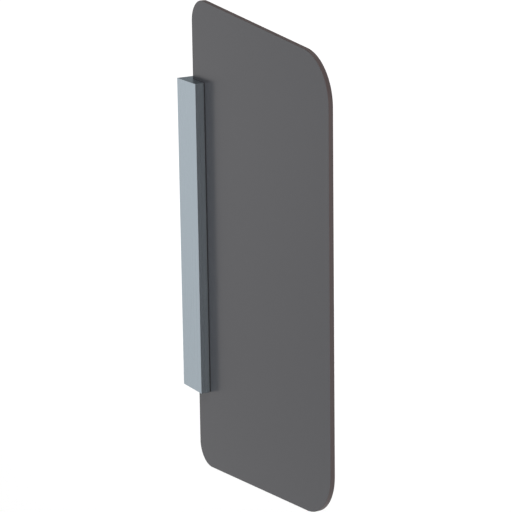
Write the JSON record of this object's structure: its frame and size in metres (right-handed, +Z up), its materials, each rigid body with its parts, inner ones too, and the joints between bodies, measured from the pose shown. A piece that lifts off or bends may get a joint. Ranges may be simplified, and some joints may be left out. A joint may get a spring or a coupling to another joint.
{
  "type": "urinal privacy screen",
  "caption": "Wall-hung urinal privacy screen: a tapered dark grey laminate panel with rounded corners, gripped at its wall edge by a short aluminium clamp profile.",
  "frame": {"origin": "middle of the wall rail's back, on the wall's surface", "axes": "+X straight out from the wall, +Y across the panel, +Z up"},
  "size_m": [0.45, 0.042, 0.7932],
  "materials": {
    "laminate": "satin",
    "anodised_cover": "satin",
    "mill_aluminium": "satin",
    "rubber_seal": "matte",
    "cap_metal": "satin",
    "stainless_steel": "satin",
    "nylon": "matte"
  },
  "bodies": {
    "root": {"panel": "laminate", "wall_rail": "mill_aluminium", "near_clamp_bar": "mill_aluminium", "far_clamp_bar": "mill_aluminium", "near_gasket": "rubber_seal", "far_gasket": "rubber_seal", "near_cover": "anodised_cover", "far_cover": "anodised_cover", "near_lip_seal": "rubber_seal", "far_lip_seal": "rubber_seal", "near_wall_seal": "rubber_seal", "far_wall_seal": "rubber_seal", "top_cap": "cap_metal", "bottom_cap": "cap_metal", "clamp_bolts": "stainless_steel", "clamp_nuts": "stainless_steel", "clamp_washers": "stainless_steel", "panel_bushes": "nylon", "spacer_blocks": "nylon", "tie_screws": "stainless_steel"}
  },
  "joints": []
}
